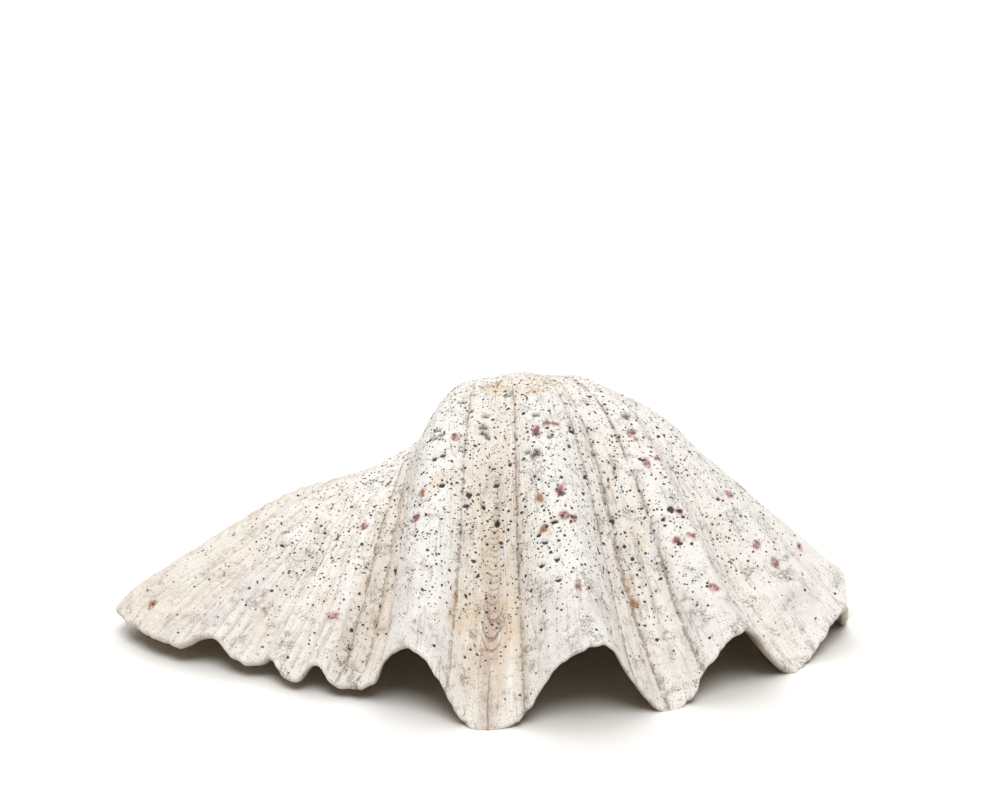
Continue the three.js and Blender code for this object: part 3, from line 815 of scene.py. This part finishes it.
class ValveFinish(NodeSheet):
    """The valve's colour, laid on layer by layer, with the patterns that its layers share."""

    def __init__(self, tree, settings):
        super().__init__(tree)
        self.settings = settings
        self.place = self.add("ShaderNodeTexCoord").outputs["Object"]
        self.lines = self.add("ShaderNodeUVMap", uv_map="shell_lines").outputs["UV"]
        split = self.add("ShaderNodeSeparateXYZ", {"Vector": self.place})
        self.across, self.height = split.outputs["X"], split.outputs["Z"]
        self.way_up, self.hinge = self.layer("way_up"), self.layer("hinge")
        self.inside = self.layer("inside")
        self.outside = self.ramp(self.inside, 0.8, 0.35)
        self.broad = self.noise(self.place, 32.0, 4.0)
        self.mottle = self.noise(self.place, 110.0, 5.0, 0.65)
        self.crust = self.noise(self.place, 480.0, 5.0, 0.7)
        self.streaks = self.line_noise(170.0, 9.0, 4.0)
        self.colour = tuple(settings.chalk)

    def line_noise(self, around, up, detail, roughness=0.6):
        """Noise on the shell's own lines, scaled once round the margin and on the way up."""
        place = self.add("ShaderNodeMapping", {"Vector": self.lines, "Scale": (around, up, 1.0)})
        return self.noise(place.outputs[0], 1.0, detail, roughness)

    def paint(self, colour, strength, *masks):
        """Lay a colour over what is there, as strongly as the product of strength and masks."""
        self.colour = self.blend(self.times(*masks, strength), self.colour, tuple(colour))

    def ground(self):
        """Cream in the troughs, blush on the wing, lilac near the arches, amber stains."""
        settings, ramp = self.settings, self.ramp
        self.paint(settings.cream, 0.9, self.layer("cream"), ramp(self.streaks, 0.22, 0.6),
                   ramp(self.way_up, 0.8, 0.25), ramp(self.way_up, -0.04, 0.08))
        self.paint(settings.blush, 0.6, ramp(self.across, -0.03, -0.12),
                   ramp(self.broad, 0.3, 0.6))
        arch = self.times(ramp(self.way_up, 0.42, 0.08), ramp(self.layer("fold"), -0.35, 0.7),
                          ramp(self.broad, 0.45, 0.62), 0.25)
        tint = self.times(self.layer("violet"), 0.6)
        self.paint(settings.lilac, 1.0, self.highest(arch, tint))
        crown = self.times(ramp(self.height, 0.082, 0.085), ramp(self.mottle, 0.45, 0.65), 0.4)
        stain = self.times(self.layer("amber"), ramp(self.mottle, 0.35, 0.6), 0.75)
        self.paint(settings.amber, 1.0, self.highest(stain, crown))

    def dust(self):
        """Fine grey dust in the mottling and the streaks."""
        self.paint(DUST, 0.2, self.ramp(self.mottle, 0.5, 0.72))
        self.paint(STREAK, 0.2, self.ramp(self.streaks, 0.56, 0.72))

    def hinge_bands(self):
        """Growth bands of the hinge side, and a thin ring along the edge of each."""
        bands = self.line_noise(9.0, 60.0, 4.0)
        self.paint(HINGE_BAND, 0.6, self.hinge, self.ramp(bands, 0.42, 0.6))
        edge = self.math("ABSOLUTE", self.minus(bands, 0.5))
        self.paint(self.settings.grime_and_shade, 0.45, self.ramp(edge, 0.016, 0.003), self.hinge)

    def seam_lines_and_shade(self):
        """The deepest trough's seam; brown lines in the seam, down the furrows' creases and the
        wing's grooves; and painted shade in a soft band either side of each furrow.
        """
        seam = self.add("ShaderNodeGroup", {"Lines": self.lines}, node_tree=seam_group()).outputs
        self.paint(SEAM_BROWN, 0.7, seam["Band"], self.ramp(self.mottle, 0.25, 0.6))
        off = self.layer("furrow_off")
        wobble = self.times(self.minus(self.crust, 0.45), 3.5)
        # Dark along each furrow's crease, and painted shade in a soft band either side of it.
        furrow = self.highest(self.ramp(self.plus(off, wobble), 0.95, 0.2),
                              self.times(self.ramp(off, 3.0, 0.0), 0.22))
        furrow = self.times(furrow, self.ramp(self.way_up, 0.85, 0.6),
                            self.ramp(self.mottle, 0.3, 0.5))
        lines = self.times(seam["Mask"], self.ramp(self.crust, 0.33, 0.5))
        # Darker down the wing's grooves.
        groove = self.times(self.layer("groove"), self.ramp(self.mottle, 0.3, 0.55), 0.6)
        self.paint(self.settings.grime_and_shade, 0.7, self.highest(lines, furrow, groove))

    def stains(self):
        """Rusty and reddish purple spots, each with a paler halo."""
        for name, halo, core, low, high in (
                ("rust", RUST_HALO, self.settings.rust, 0.3, 0.5),
                ("maroon", MAROON_HALO, self.settings.maroon, 0.35, 0.52)):
            spot = self.layer(name)
            self.paint(halo, 0.6, self.ramp(spot, 0.0, 0.4))
            self.paint(core, 0.85, self.ramp(spot, 0.3, 0.9), self.ramp(self.crust, low, high))

    def pits(self):
        """Bore pits of four sizes, and fine dark specks that are closest together at the margin.

        The pits thin out on the wing, the right-hand end, the hinge side and near the margin.
        """
        group, ramp = bore_pits_group(), self.ramp
        place = self.bent(self.place, 600.0, 1.0, 0.5, 0.0007)

        def scatter(cells, share, radius):
            inputs = {"Place": place, "Cells per metre": cells, "Share": share, "Radius": radius}
            return self.add("ShaderNodeGroup", inputs, node_tree=group).outputs["Mask"]

        upper = self.times(ramp(self.way_up, 0.0, 0.3), ramp(self.across, -0.13, -0.04))
        share = self.times(self.highest(upper, 0.1), self.outside, ramp(self.broad, 0.12, 0.42),
                           ramp(self.hinge, 1.25, 0.0), ramp(self.across, 0.15, 0.05))
        holes = self.highest(*(scatter(cells, self.times(share, part), radius)
                               for cells, part, radius in PIT_LAYERS))
        margin = ramp(self.way_up, 0.13, 0.02)
        dotted = ramp(self.plus(self.mottle, self.times(margin, 0.2)), 0.3, 0.66)
        dotted = self.times(dotted, self.math("ADD", margin, 0.55, clamp=True), self.outside)
        return holes, scatter(1300.0, dotted, 0.27)

    def hairlines(self):
        """Crackle of two sizes, and thin runs where noise along the shell's lines crosses 0.5."""
        group = crackle_group()
        place = self.bent(self.place, 260.0, 4.0, 0.0, 0.009)
        patches = self.noise(self.place, 130.0)
        rougher = self.times(self.ramp(self.way_up, 0.45, 0.05), 0.03)
        hairs = [self.add("ShaderNodeGroup", {
            "Place": place, "Patches": patches, "Cells per metre": cells, "Width": width,
            "Amount": self.plus(rougher, amount)}, node_tree=group).outputs["Mask"]
            for cells, width, amount in CRACKLE_LAYERS]
        level = self.math("ABSOLUTE", self.minus(self.line_noise(95.0, 2.6, 3.0, 0.55), 0.5))
        runs = self.times(self.ramp(level, 0.012, 0.002), self.ramp(self.mottle, 0.4, 0.55), 0.55)
        body = self.times(self.ramp(self.across, -0.13, -0.03), 0.45)
        return self.times(self.highest(*hairs, runs), self.outside, self.plus(body, 0.55))

    def finish(self):
        """All layers in order, then bump and roughness, into one shader."""
        self.ground()
        self.dust()
        self.hinge_bands()
        self.seam_lines_and_shade()
        self.stains()
        (holes, specks), hairs = self.pits(), self.hairlines()
        self.paint(DIRT, 0.6, self.ramp(self.crust, 0.43, 0.35),
                   self.ramp(self.mottle, 0.3, 0.6), self.outside)
        self.paint(SPECK, 0.65, specks)
        self.paint(HAIRLINE, 0.65, hairs)
        self.paint(self.settings.ash, 0.9, self.layer("ashy"))
        dark = self.highest(holes, self.ramp(self.layer("bowl"), 0.25, 0.7))
        self.paint(self.settings.pit, 0.94, dark)
        # Painted shade: the inner face is given the dark warm brown of the shade in the hollow.
        self.paint(self.settings.inside, 1.0, self.inside)
        grain = self.noise(self.place, 1400.0, 4.0, 0.7)
        raised = self.plus(self.times(self.mottle, 0.0006), self.times(grain, 0.0002))
        raised = self.plus(raised, self.times(self.crust, 0.0007))
        sunk = self.plus(self.times(holes, 0.0007), self.times(hairs, 0.00018))
        relief = self.times(self.minus(raised, sunk), self.outside)
        bump = self.add("ShaderNodeBump", {"Height": relief, "Strength": 0.9, "Distance": 1.0})
        rough = self.plus(self.times(self.mottle, 0.25), 0.62)
        shader = self.add("ShaderNodeBsdfPrincipled", {
            "Base Color": self.colour, "Normal": bump.outputs["Normal"],
            "Roughness": self.minus(rough, self.times(self.inside, 0.35)),
            "Specular IOR Level": 0.25})
        end = self.add("ShaderNodeOutputMaterial")
        self.feed(end.inputs["Surface"], shader.outputs["BSDF"])


def valve_material(settings):
    """Chalky ridges, cream troughs, faint lilac and blush, stains, pits and hairline cracks."""
    material = bpy.data.materials.new("weathered_clam_shell")
    material.use_nodes = True
    material.node_tree.nodes.clear()
    ValveFinish(material.node_tree, settings).finish()
    return material


def floor_material(settings):
    """Matt pale paper with a hardly visible grain."""
    material = bpy.data.materials.new("studio_paper")
    material.use_nodes = True
    sheet = NodeSheet(material.node_tree)
    shader = material.node_tree.nodes["Principled BSDF"]
    place = sheet.add("ShaderNodeTexCoord").outputs["Object"]
    grain = sheet.times(sheet.noise(place, 60.0), 0.04)
    sheet.feed(shader.inputs["Base Color"], sheet.blend(grain, tuple(settings.floor), PAPER_GRAIN))
    shader.inputs["Roughness"].default_value = 0.9
    shader.inputs["Specular IOR Level"].default_value = 0.1
    return material


# Operators

class BuildValve(bpy.types.Operator):
    """Build the valve as one closed, finely ribbed skin with its weathered finish"""

    bl_idname = "clam_shell.build_valve"
    bl_label = "Build the valve"

    def execute(self, context):
        settings = context.scene.clam_shell
        valve = bpy.data.objects.new("clam_valve", build_valve(settings))
        context.scene.collection.objects.link(valve)
        valve.data.materials.append(valve_material(settings))
        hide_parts(NODE)
        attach(valve, "root")
        return {"FINISHED"}


class BuildStudio(bpy.types.Operator):
    """Lay the pale floor and set the soft lights and the camera"""

    bl_idname = "clam_shell.build_studio"
    bl_label = "Build the studio"

    def execute(self, context):
        settings = context.scene.clam_studio
        scene = context.scene
        self.lay_floor(scene, settings)
        self.hang_sun(scene, "overhead_light", settings.overhead, settings.spread,
                      OVERHEAD_TURNS)
        self.hang_sun(scene, "front_light", settings.front, FRONT_SPREAD, FRONT_TURNS)
        world = bpy.data.worlds.new("soft_room")
        world.use_nodes = True
        background = world.node_tree.nodes["Background"]
        background.inputs["Color"].default_value = tuple(settings.glow)
        background.inputs["Strength"].default_value = settings.room
        scene.world = world
        scene.view_settings.view_transform = "Standard"
        self.set_camera(scene)
        return {"FINISHED"}

    def lay_floor(self, scene, settings):
        """A wide square at the height of the shell's lowest point."""
        corners = [(x * FLOOR_REACH, y * FLOOR_REACH, 0)
                   for x, y in ((-1, -1), (1, -1), (1, 1), (-1, 1))]
        mesh = bpy.data.meshes.new("floor_sheet")
        mesh.from_pydata(corners, [], [(0, 1, 2, 3)])
        floor = bpy.data.objects.new("floor", mesh)
        mesh.materials.append(floor_material(settings))
        scene.collection.objects.link(floor)

    def hang_sun(self, scene, name, strength, spread, turns):
        """A far, wide light, turned about X and Y by degrees from straight down."""
        data = bpy.data.lights.new(name, "SUN")
        data.energy = strength
        data.angle = spread
        data.color = LIGHT_TINT
        light = bpy.data.objects.new(name, data)
        light.rotation_euler = (math.radians(turns[0]), math.radians(turns[1]), 0.0)
        scene.collection.objects.link(light)

    def set_camera(self, scene):
        """The photograph's viewpoint: low in front, looking down a little."""
        data = bpy.data.cameras.new("photo_camera")
        data.lens = LENS
        data.sensor_width = SENSOR
        camera = bpy.data.objects.new("photo_camera", data)
        camera.location = CAMERA_PLACE * MM
        camera.rotation_euler = (math.radians(90 - CAMERA_PITCH), 0.0, 0.0)
        scene.collection.objects.link(camera)
        scene.camera = camera


class ShellPanel(bpy.types.Panel):
    """The shell's settings and its two building steps"""

    bl_idname = "VIEW3D_PT_clam_shell"
    bl_label = "Giant clam shell"
    bl_space_type = "VIEW_3D"
    bl_region_type = "UI"
    bl_category = "Shell"

    def draw(self, context):
        column = self.layout.column()
        for settings in (context.scene.clam_shell, context.scene.clam_studio):
            for name in settings.__annotations__:
                column.prop(settings, name)
        column.operator(BuildValve.bl_idname)
        column.operator(BuildStudio.bl_idname)


CLASSES = (ShellSettings, StudioSettings, BuildValve, BuildStudio, ShellPanel)


def register():
    for cls in CLASSES:
        bpy.utils.register_class(cls)
    bpy.types.Scene.clam_shell = bpy.props.PointerProperty(type=ShellSettings)
    bpy.types.Scene.clam_studio = bpy.props.PointerProperty(type=StudioSettings)


def unregister():
    del bpy.types.Scene.clam_studio
    del bpy.types.Scene.clam_shell
    for cls in reversed(CLASSES):
        bpy.utils.unregister_class(cls)


def main():
    """Register the classes, and build the valve and the studio."""
    register()
    bpy.ops.clam_shell.build_valve()
    bpy.ops.clam_shell.build_studio()


if __name__ == "__main__":
    main()
